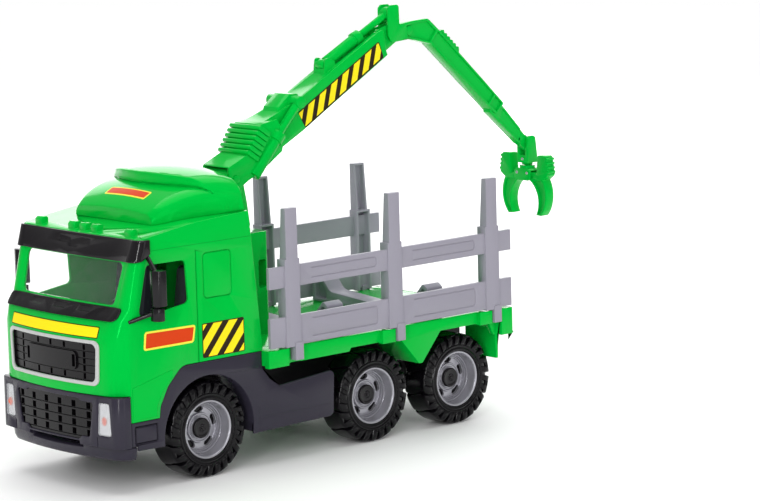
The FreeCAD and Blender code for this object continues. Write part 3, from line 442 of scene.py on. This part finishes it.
def treadBars():
    # one bar from a grid, with its columns across the tread and three rows of faces along it, and its copies
    shape = bmesh.new()
    bmesh.ops.create_grid(shape, x_segments=tyreLook["columns"], y_segments=3, size=1)
    middles = {face: face.calc_center_median() for face in shape.faces}
    split = [face for face, place in middles.items()
             if abs(place.y) < 0.2 and abs(place.x) > tyreLook["pocket"]]
    bmesh.ops.delete(shape, geom=split, context="FACES")
    tops = set(thicken(shape, (0, 0, 0)))
    narrow, broad = tyreLook["gap"]
    step = 2 * math.pi / tyreLook["bars"]
    for corner in shape.verts:
        across, row = corner.co.x, corner.co.y
        share = abs(across)
        gap = narrow + (broad - narrow) * min(1, share * tyreLook["widening"]) ** 2
        if abs(row) < 0.5:
            row *= 1 - tyreLook["closing"] * (share > tyreLook["pocket"])
        place = (tyreLook["wave"] * math.sin(math.pi * across * tyreLook["swing"])
                 + row * (step * tyreLook["radius"] - gap) / 2)
        y, radius = alongRun(treadRun, share)
        if corner not in tops:
            outside = share > tyreLook["shoulder"]
            y -= tyreLook["lug"] * tyreLook["footIn"] * outside
            radius -= tyreLook["lug"] + tyreLook["footDown"] * (not outside)
        turn = place / tyreLook["radius"]
        y = math.copysign(y, across)
        corner.co = Vector((radius * math.cos(turn), y, radius * math.sin(turn))) / 1000
    bmesh.ops.recalc_face_normals(shape, faces=shape.faces)
    rim = [edge for edge in shape.edges if edge.verts[0] in tops and edge.verts[1] in tops
           and len(edge.link_faces) == 2 and edge.calc_face_angle() > math.radians(38)]
    bmesh.ops.bevel(shape, geom=rim, offset=tyreLook["edge"] / 1000, offset_type="OFFSET", segments=2,
                    profile=0.5, affect="EDGES", material=-1, clamp_overlap=True)
    copies = tyreLook["bars"] - 1
    bmesh.ops.spin(shape, geom=everything(shape), axis=(0, 1, 0), angle=step * copies, steps=copies,
                   use_duplicate=True)
    return shape


def makeTyre():
    back = [(-across, radius) for across, radius in carcassRun[:0:-1]]
    carcass = spun(carcassRun + back, tyreLook["steps"])
    return merged(merged(carcass, spun(slotShadeRun, 48)), treadBars())


# rims and hub caps
rimLook = {
    "steps": 112,             # faces round the rim
    "slots": 5,
    "slotTurn": -18,          # turn of the first one in degrees
    "slotPlace": 15.3,        # distance from the axle's line, in mm
    "slotSize": (2.6, 4.9),   # half sizes along the radius and round the wheel
    "slotReach": (6, 12),     # where the cut starts, out from the rim's middle, and how deep it goes
}
rimRun = [(-12.6, 24.45), (12.3, 24.45), (12.8, 24.35), (13.1, 23.95), (13.1, 23.3), (12.8, 22.8),
          (12.1, 22.4), (10.6, 22.1), (8.4, 21.8), (6.4, 21.3), (5.0, 20.9), (4.3, 20.8), (4.2, 20.35),
          (4.9, 20.2), (5.0, 19.9), (4.7, 19.65), (3.4, 19.5), (2.7, 19.4), (2.6, 18.95), (3.3, 18.85),
          (3.4, 18.6), (3.1, 18.4), (2.0, 18.3), (1.4, 18.2), (1.3, 17.85), (1.8, 17.7), (1.8, 17.45),
          (1.4, 17.25), (0.7, 17.15), (0.5, 16.95), (0.5, 13.1), (0.7, 12.85), (1.9, 12.6), (2.3, 12.3),
          (2.4, 11.9), (2.3, 11.5), (1.9, 11.25), (1.2, 11.1), (1.0, 10.8), (1.0, 9.9), (1.3, 9.6),
          (2.1, 9.5), (2.4, 9.2), (2.4, 2.62), (-12.6, 2.62), (-12.6, 7), (-1.6, 7), (-1.6, 20.3),
          (-12.6, 20.3)]


def makeRim():
    cutter = bmesh.new()
    start, depth = rimLook["slotReach"]
    size = Matrix.Diagonal((*rimLook["slotSize"], 1, 1))
    upright = Matrix.Rotation(math.radians(90), 4, "X")
    for slot in range(rimLook["slots"]):
        oval = bmesh.ops.create_circle(cutter, cap_ends=True, segments=24, radius=1)["verts"]
        turn = Matrix.Rotation(math.radians(rimLook["slotTurn"] + 360 / rimLook["slots"] * slot), 4, "Y")
        move = Matrix.Translation((rimLook["slotPlace"], start, 0))
        bmesh.ops.transform(cutter, matrix=Matrix.Scale(0.001, 4) @ turn @ move @ upright @ size, verts=oval)
    thicken(cutter, (0, -depth / 1000, 0))
    bmesh.ops.recalc_face_normals(cutter, faces=cutter.faces)
    return carved(spun(rimRun, rimLook["steps"]), cutter)


capLook = {"back": 2.82, "radius": 8.3, "rod": 2.45}     # place out from the wheel's middle, and two radii
capRun = [(3.1, 8.6), (4.0, 8.6), (4.6, 8.4), (5.1, 7.8), (5.2, 7.2), (4.95, 6.6), (4.9, 3.6), (5.2, 3.2),
          (5.45, 2.7), (5.2, 2.2), (4.95, 1.9), (4.95, 1.3), (5.5, 1.1), (5.9, 0.7), (6.0, 0)]
wheelMiddle = 63.5       # mm from the truck's middle to a wheel's


def makeAxle():
    # rod with a cap on each end
    cap = [(capLook["back"], capLook["rod"]), (capLook["back"], capLook["radius"])] + capRun
    half = [(0, capLook["rod"])] + [(wheelMiddle + across, radius) for across, radius in cap]
    return spun([(-across, radius) for across, radius in half[:0:-1]] + half, 64, closed=False)


tyreShape, rimShape, axleShape = makeTyre(), makeRim(), makeAxle()


def placed(shape, x, y, z, turn=0):
    # copy of a shape turned about the upright axis and moved to a place in metres
    copy = shape.copy()
    place = Matrix.Translation((x, y, z)) @ Matrix.Rotation(turn, 4, "Z")
    bmesh.ops.transform(copy, matrix=place, verts=copy.verts)
    return copy


for row in ("front", "middle", "rear"):
    axle = f"axle_{row}"
    low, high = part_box(axle)
    x, z = (low[0] + high[0]) / 2, (low[2] + high[2]) / 2
    addPiece(axle + "_turned", placed(axleShape, x, 0, z), "blackGloss", nodes[axle]["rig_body"],
             replaces=(axle,))
    for side, sign, turn in (("left", 1, 0), ("right", -1, math.pi)):
        for kind, shape, finish, slot in (("tyre", tyreShape, "tyreBlack", "tyre_black"),
                                          ("rim", rimShape, "rimGrey", "rim_grey")):
            node = f"{kind}_{row}_{side}"
            addPiece(node + "_turned", placed(shape, x, sign * wheelMiddle / 1000, z, turn), finish,
                     nodes[node]["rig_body"], replaces=(node,))
print("wheels made")


# foils, seams drawn as thin lines of painted shade, and beads on the mouldings, all of them blank
standOff = {"side": 130, "front": 130, "top": 330}     # where a sheet starts, in mm from the datum


def surfaceOf(node):
    shape = moulding(node)
    tree = BVHTree.FromBMesh(shape)
    shape.free()
    return tree


def onSide(sign):
    return lambda along, up: datum + Vector((along, sign * standOff["side"], up)) / 1000


def onFront(ahead=standOff["front"]):
    return lambda across, up: datum + Vector((ahead, across, up)) / 1000


def onTop(along, across):
    return datum + Vector((along, across, standOff["top"])) / 1000


def flatSheet(corners, rounding, plane):
    # sheet with rounded corners; plane puts two distances in mm into space
    shape = bmesh.new()
    sheet = shape.faces.new([shape.verts.new(plane(*corner)) for corner in corners])
    if rounding:
        bmesh.ops.bevel(shape, geom=list(sheet.verts), offset=rounding / 1000, segments=4, profile=0.5,
                        affect="VERTICES", material=-1)
    return shape


def cutAcross(shape, place, normal):
    bmesh.ops.bisect_plane(shape, geom=everything(shape), plane_co=place, plane_no=normal)


def bendable(shape, normal, pitch, reach, start=(0, 0, 0)):
    # cuts a sheet at a pitch, to both sides of its start, so that it can follow a curve
    for step in range(-reach, reach + 1):
        cutAcross(shape, datum + (Vector(start) + Vector(normal) * pitch * step) / 1000, normal)


def striped(shape, start, normal, pitch, share, reach):
    # keeps slanted bands of a sheet and deletes what lies between them
    for step in range(-reach, reach + 1):
        for edge in (0, share):
            cutAcross(shape, start + normal * pitch * (step + edge) / 1000, normal)
    bare = [face for face in shape.faces
            if ((face.calc_center_median() - start).dot(normal) * 1000 / pitch) % 1 > share]
    bmesh.ops.delete(shape, geom=bare, context="FACES")


def stick(name, shape, facing, carrier, material, lift, thick):
    # drops a sheet on its carrier and gives it a thickness; a corner that lands beside the carrier is deleted
    tree = surfaceOf(carrier)
    missed = []
    for corner in shape.verts:
        place = tree.ray_cast(corner.co, -facing)[0]
        if place is None:
            missed.append(corner)
        else:
            corner.co = place + facing * lift / 1000
    if missed:
        print(name, "misses", carrier, "at", [(corner.co - datum) * 1000 for corner in missed])
        bmesh.ops.delete(shape, geom=missed, context="VERTS")
    for face in shape.faces:
        face.normal_update()
        if face.normal.dot(facing) < 0:
            face.normal_flip()
    thicken(shape, facing * thick / 1000)
    bmesh.ops.recalc_face_normals(shape, faces=shape.faces)
    return addPiece(name, shape, material, nodes[carrier]["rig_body"], sharp=40)


def addFoil(name, facing, plane, outline, carrier, finish, lift, thick=0.12, rounding=0, edge=0, bends=(),
            stripes=None):
    # outline, lift, thickness, corner rounding and edge radius are in mm
    shape = flatSheet(outline, rounding, plane)
    for bend in bends:
        bendable(shape, *bend)
    if stripes:
        start, normal, *bands = stripes
        striped(shape, plane(*start), Vector(normal), *bands)
    piece = stick(name, shape, Vector(facing), carrier, finish, lift, thick)
    if edge:
        finishEdges(piece, edge, 3)


# start, direction across the bands, pitch in mm, share of it that a band fills, how many to each side
cabStripes = ((-8.6, 101), (0.762, 0, 0.648), 12.42, 0.564, 5)
boomStripes = ((-169.6, 267.6), (-0.971, 0, -0.239), 11.2, 0.56, 12)
# a seam is a thin dark line of painted shade, standing for the shade in a groove
seam = {"lift": 0.01, "thick": 0.03}         # thin dark line
bead = {"lift": -0.1, "thick": 0.5}          # stands up from the moulding
sideFoils = {
    # outlines are (along, up) from the datum, the same on both sides of the truck
    "cab_seam": {
        "carrier": "cab", "finish": "grooveShadeGreen", "bends": [((1, 0, 0), 6, 11)], **seam,
        "outline": [(57, 195.2), (-48, 195.2), (-48, 194.9), (57, 194.9)]},
    "cab_crease": {
        "carrier": "cab", "finish": "greenGloss", "edge": 0.35, **bead,
        "bends": [((1, 0, 0), 4, 10, (66, 0, 0))],
        "outline": [(79.5, 86.3), (38, 96), (38, 90.5), (49, 79), (55, 68), (55, 60), (79.5, 60)]},
    "skirt_fold": {
        "carrier": "fender", "finish": "grooveShadeSlate", **seam,
        "outline": [(-54, 42.2), (-134, 42.2), (-134, 41.9), (-54, 41.9)]},
    "skirt_joint": {
        "carrier": "fender", "finish": "grooveShadeSlate", **seam,
        "outline": [(-51.9, 53), (-52.2, 53), (-52.2, 32), (-51.9, 32)]},
    "skirt_rim": {
        "carrier": "fender", "finish": "slateSatin", "edge": 0.28, **bead,
        "outline": [(52, 58.4), (51.4, 64), (49.8, 69.5), (46.3, 75.6), (43, 81.2), (38.6, 86.4),
                    (33.5, 91.3), (29.5, 94.6), (25, 96.7), (20, 97.2), (-55.8, 97.2), (-55.8, 96.3),
                    (20, 96.3), (24.7, 95.8), (28.9, 93.8), (32.8, 90.6), (37.8, 85.8), (42.2, 80.7),
                    (45.9, 75.1), (48.9, 69.2), (50.5, 63.8), (51.1, 58.4)]},
    "skirt_ledge": {
        "carrier": "fender", "finish": "slateSatin", "edge": 0.28, **bead,
        "outline": [(-57.2, 82.2), (-64.5, 73.3), (-75.2, 65.3), (-130.5, 69.5), (-130.5, 68.6),
                    (-75.4, 64.3), (-65.1, 72.6), (-58, 81.6)]},
    "skirt_brow": {
        "carrier": "fender", "finish": "grooveShadeSlate", **seam,
        "outline": [(-20, 84.2), (-56, 84.2), (-56, 83.9), (-20, 83.9)]},
    "cab_hazard_back": {
        "carrier": "cab", "finish": "labelBrown", "rounding": 1.6, "lift": 0.03,
        "outline": [(6, 129), (-38.4, 129), (-38.4, 100.5), (6, 100.5)]},
    "cab_hazard_bands": {
        "carrier": "cab", "finish": "labelYellow", "rounding": 1.0, "lift": 0.12, "stripes": cabStripes,
        "outline": [(5.2, 128.2), (-37.6, 128.2), (-37.6, 101.3), (5.2, 101.3)]},
    "cab_label_edge": {
        "carrier": "cab", "finish": "labelGold", "rounding": 2.4, "lift": 0.03,
        "outline": [(65.2, 130.4), (12.6, 129.4), (15, 115), (66.8, 115.2)]},
    "cab_label_field": {
        "carrier": "cab", "finish": "labelOrange", "rounding": 1.0, "lift": 0.12,
        "outline": [(63.4, 128.7), (14.5, 127.7), (16.6, 116.7), (64.8, 116.8)]},
    "boom_hazard_back": {
        "carrier": "boom", "finish": "labelBrown", "rounding": 1.6, "lift": 0.03,
        "outline": [(-162, 281.5), (-170.5, 267.5), (-263, 320.5), (-257.5, 335)]},
    "boom_hazard_bands": {
        "carrier": "boom", "finish": "labelYellow", "rounding": 0.9, "lift": 0.12, "stripes": boomStripes,
        "outline": [(-163, 280.8), (-170, 268.8), (-261.8, 321.4), (-257, 333.6)]},
}
for side, sign in (("left", 1), ("right", -1)):
    for name, foil in sideFoils.items():
        # each side has its own fender
        carrier = foil["carrier"] if foil["carrier"] in nodes else f"{foil['carrier']}_{side}"
        addFoil(f"{name}_{side}", (0, sign, 0), onSide(sign), **{**foil, "carrier": carrier})

frontBends = [((0, 1, 0), 6, 10), ((0, 0, 1), 2.2, 1, (0, 0, 131.5))]
frontFoils = {
    # outlines are (across, up)
    "front_label_edge": {"finish": "labelBrown", "rounding": 1.2, "lift": 0.03,
                         "outline": [(-58.6, 136), (57.8, 136), (58, 126.8), (-57.8, 126.8)]},
    "front_label_field": {"finish": "labelYellow", "rounding": 0.8, "lift": 0.12,
                          "outline": [(-57.8, 135.3), (57, 135.3), (57.2, 127.5), (-57, 127.5)]},
}
for name, foil in frontFoils.items():
    addFoil(name, (1, 0, 0), onFront(), carrier="cab", bends=frontBends, **foil)

roofBends = [((0, 1, 0), 4, 7), ((1, 0, 0), 2, 3, (16.2, 0, 0))]
roofFoils = {
    # outlines are (along, across)
    "roof_label_edge": {"finish": "labelGold", "rounding": 1.6, "lift": 0.05,
                        "outline": [(20.8, -24.5), (11.6, -24.5), (11.6, 28.5), (20.8, 28.5)]},
    "roof_label_field": {"finish": "labelOrange", "rounding": 0.8, "lift": 0.16,
                         "outline": [(19.5, -22.8), (12.9, -22.8), (12.9, 26.8), (19.5, 26.8)]},
}
for name, foil in roofFoils.items():
    addFoil(name, (0, 0, 1), onTop, carrier="roof_deflector", bends=roofBends, **foil)
print("foils laid")


# dark walls behind the two grilles: painted shade, black sheets that stand for the shade behind the grille
# openings
grilleShadeBacks = {
    # outline of (across, up), place ahead of the datum, rounding and thickness, all in mm
    "upper": ([(-55.6, 91.2), (55.6, 91.2), (56.6, 122), (-56.6, 122)], 90.2, 3, 0.6),
    "lower": ([(-50, 43), (50, 43), (52, 75.6), (-52, 75.6)], 92.6, 3, 0.6),
}
for name, (outline, ahead, rounding, thick) in grilleShadeBacks.items():
    wall = flatSheet(outline, rounding, onFront(ahead))
    thicken(wall, (thick / 1000, 0, 0))
    bmesh.ops.recalc_face_normals(wall, faces=wall.faces)
    addPiece(f"{name}_grille_shade_back", wall, "grilleBlack", nodes[f"{name}_grille"]["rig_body"])


# headlights
lampLook = {
    "cut": 3.0,                    # where the reflector's side is cut, in mm behind the cover's face
    "sink": 1.4,                   # how far the reflector lies behind the cover, in mm
    "narrow": (0.9, 0.95),         # its width and height, as shares of the housing's
    "bulb": (1.2, 2.9, 3.5),       # half sizes in mm
    "bulbPlace": (2.2, 1.0),       # behind the cover's face, and towards the truck's right, in mm
    "bulbUp": 0.44,                # share of the housing's height
    "edge": 0.5,
}


def addHeadlight(node):
    # silver reflector, orange bulb and clear cover in one housing
    low, high = (Vector(corner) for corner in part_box(node))
    middle = (low + high) / 2
    body = nodes[node]["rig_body"]
    cover = moulding(node)
    reflector = cover.copy()
    cutAcross(reflector, (high.x - lampLook["cut"] / 1000, 0, 0), (1, 0, 0))
    wide, tall = lampLook["narrow"]
    for corner in reflector.verts:
        corner.co.x -= lampLook["sink"] / 1000 * (corner.co.x > low.x + 0.001)     # all but the back
        corner.co.y = middle.y + (corner.co.y - middle.y) * wide
        corner.co.z = middle.z + (corner.co.z - middle.z) * tall
    addPiece(node + "_reflector", reflector, "lampSilver", body, 30)
    bulb = bmesh.new()
    bmesh.ops.create_uvsphere(bulb, u_segments=20, v_segments=12, radius=1)
    behind, aside = lampLook["bulbPlace"]
    up = low.z + (high.z - low.z) * lampLook["bulbUp"]
    place = Matrix.Translation((high.x - behind / 1000, middle.y - aside / 1000, up))
    size = Matrix.Diagonal([half / 1000 for half in lampLook["bulb"]] + [1])
    bmesh.ops.transform(bulb, matrix=place @ size, verts=bulb.verts)
    addPiece(node + "_bulb", bulb, "lampOrange", body, sharp=60)
    glass = addPiece(node + "_cover", cover, "lampClear", body, 180, replaces=(node,))
    finishEdges(glass, lampLook["edge"])


for node in ("headlight_left", "headlight_right"):
    addHeadlight(node)
print("headlights made")


# steel screws of the grapple
screwLook = {
    # in mm
    "radius": 1.55,
    "top": 0.86,                     # share of the radius at the head's face
    "height": 0.9,
    "round": 0.3,
    "groove": (10, 0.45, 0.6),       # length, width and height of what cuts the groove
    "grooveUp": 0.5,                 # place of its middle above the head's
}
screws = {
    # place in mm from the datum, body
    "hanger_screw": ((-442.6, 0, 211.5), "hanger"),
    "head_screw_left": ((-441.6, 6.4, 199), "head"),
    "head_screw_right": ((-441.6, -6.4, 199), "head"),
}


def addScrew(name, place, body):
    # domed head that faces forward, with a groove across it
    head = bmesh.new()
    radius, height = screwLook["radius"] / 1000, screwLook["height"] / 1000
    bmesh.ops.create_cone(head, cap_ends=True, segments=28, radius1=radius, radius2=radius * screwLook["top"],
                          depth=height)
    top = [edge for edge in head.edges if all(corner.co.z > 0 for corner in edge.verts)]
    bmesh.ops.bevel(head, geom=top, offset=screwLook["round"] / 1000, segments=3, profile=0.5, affect="EDGES",
                    material=-1)
    groove = bmesh.new()
    size = Matrix.Diagonal([side / 1000 for side in screwLook["groove"]] + [1])
    raised = Matrix.Translation((0, 0, screwLook["grooveUp"] / 1000))
    bmesh.ops.create_cube(groove, size=1, matrix=raised @ size)
    shape = carved(head, groove)
    forward = Vector((0, 0, 1)).rotation_difference(Vector((1, 0, 0))).to_matrix().to_4x4()
    move = Matrix.Translation(datum + Vector(place) / 1000)
    bmesh.ops.transform(shape, matrix=move @ forward, verts=shape.verts)
    addPiece(name, shape, "zincSteel", body, 40)


for name, values in screws.items():
    addScrew(name, *values)
print("screws set")


# floor
floorLook = {"radius": 30, "colour": (250, 250, 250), "roughness": 0.75}      # metres


def addFloor():
    shape = bmesh.new()
    bmesh.ops.create_circle(shape, cap_ends=True, segments=64, radius=floorLook["radius"])
    floor = bpy.data.objects.new("floor", meshOf(shape))
    bpy.context.scene.collection.objects.link(floor)
    finish = Finish("paleFloor")
    finish.surface(Base_Color=rgb(*floorLook["colour"]), Roughness=floorLook["roughness"],
                   Specular_IOR_Level=0.2)
    floor.data.materials.append(finish.material)


# light
studio = {
    "fill": 0.45,           # strength of the world on the truck
    "background": 1.0,      # and as the camera sees it
    # turn in degrees, strength, angle in degrees
    "suns": {
        "overhead": ((8, -12, 0), 1.7, 60),
        "front": ((58, 0, 152), 0.6, 40),
    },
    # place, aim and size in metres, power
    "panels": {
        "side": ((0.1, 2.6, 0.7), (0, 0, 0.15), (0.5, 1.6), 4),
        "streak": ((2.0, 1.25, 0.75), (0, 0, 0.15), (0.12, 1.3), 14),
        "backdrop": ((-1.75, -1.9, 1.0), (-0.1, 0, 0.2), (3.2, 1.7), 34),
    },
}


def addWorld():
    world = bpy.data.worlds.new("studio")
    bpy.context.scene.world = world
    world.use_nodes = True
    tree = world.node_tree
    mix = tree.nodes.new("ShaderNodeMixShader")
    path = tree.nodes.new("ShaderNodeLightPath")
    tree.links.new(path.outputs["Is Camera Ray"], mix.inputs[0])
    whites = (tree.nodes["Background"], tree.nodes.new("ShaderNodeBackground"))
    for socket, white, strength in zip((1, 2), whites, (studio["fill"], studio["background"])):
        white.inputs["Color"].default_value = (1, 1, 1, 1)
        white.inputs["Strength"].default_value = strength
        tree.links.new(white.outputs[0], mix.inputs[socket])
    tree.links.new(mix.outputs[0], tree.nodes["World Output"].inputs["Surface"])


def addSun(name, turn, strength, angle):
    data = bpy.data.lights.new(name, "SUN")
    data.energy = strength
    data.angle = math.radians(angle)
    lamp = bpy.data.objects.new(name, data)
    lamp.rotation_euler = [math.radians(part) for part in turn]
    bpy.context.scene.collection.objects.link(lamp)


def addPanel(name, place, aim, size, power):
    data = bpy.data.lights.new(name, "AREA")
    data.shape = "RECTANGLE"
    data.size, data.size_y = size
    data.energy = power
    lamp = bpy.data.objects.new(name, data)
    lamp.location = place
    lamp.rotation_euler = (Vector(place) - Vector(aim)).to_track_quat("Z", "Y").to_euler()
    bpy.context.scene.collection.objects.link(lamp)


# camera
view = {
    # metres and degrees; the lens in mm
    "target": (-0.0866, 0.0, 0.1484),
    "azimuth": 137.9,
    "elevation": 8.79,
    "roll": -1.49,
    "distance": 2.879,
    "lens": 154.1,
}


def addCamera():
    azimuth, elevation = math.radians(view["azimuth"]), math.radians(view["elevation"])
    away = Vector((math.sin(azimuth) * math.cos(elevation), -math.cos(azimuth) * math.cos(elevation),
                   math.sin(elevation)))
    right = Vector((0, 0, 1)).cross(away).normalized()
    up = away.cross(right)
    roll = math.radians(view["roll"])
    cosine, sine = math.cos(roll), math.sin(roll)
    turned = (cosine * right + sine * up, cosine * up - sine * right, away)
    data = bpy.data.cameras.new("camera")
    data.sensor_width = 36
    data.lens = view["lens"]
    data.clip_end = 100
    camera = bpy.data.objects.new("camera", data)
    camera.matrix_world = (Matrix.Translation(Vector(view["target"]) + away * view["distance"])
                           @ Matrix(turned).transposed().to_4x4())
    bpy.context.scene.collection.objects.link(camera)
    bpy.context.scene.camera = camera


addFloor()
addWorld()
for name, values in studio["suns"].items():
    addSun(name, *values)
for name, values in studio["panels"].items():
    addPanel(name, *values)
addCamera()
bpy.context.scene.view_settings.view_transform = "Standard"
print("floor, light and camera ready")
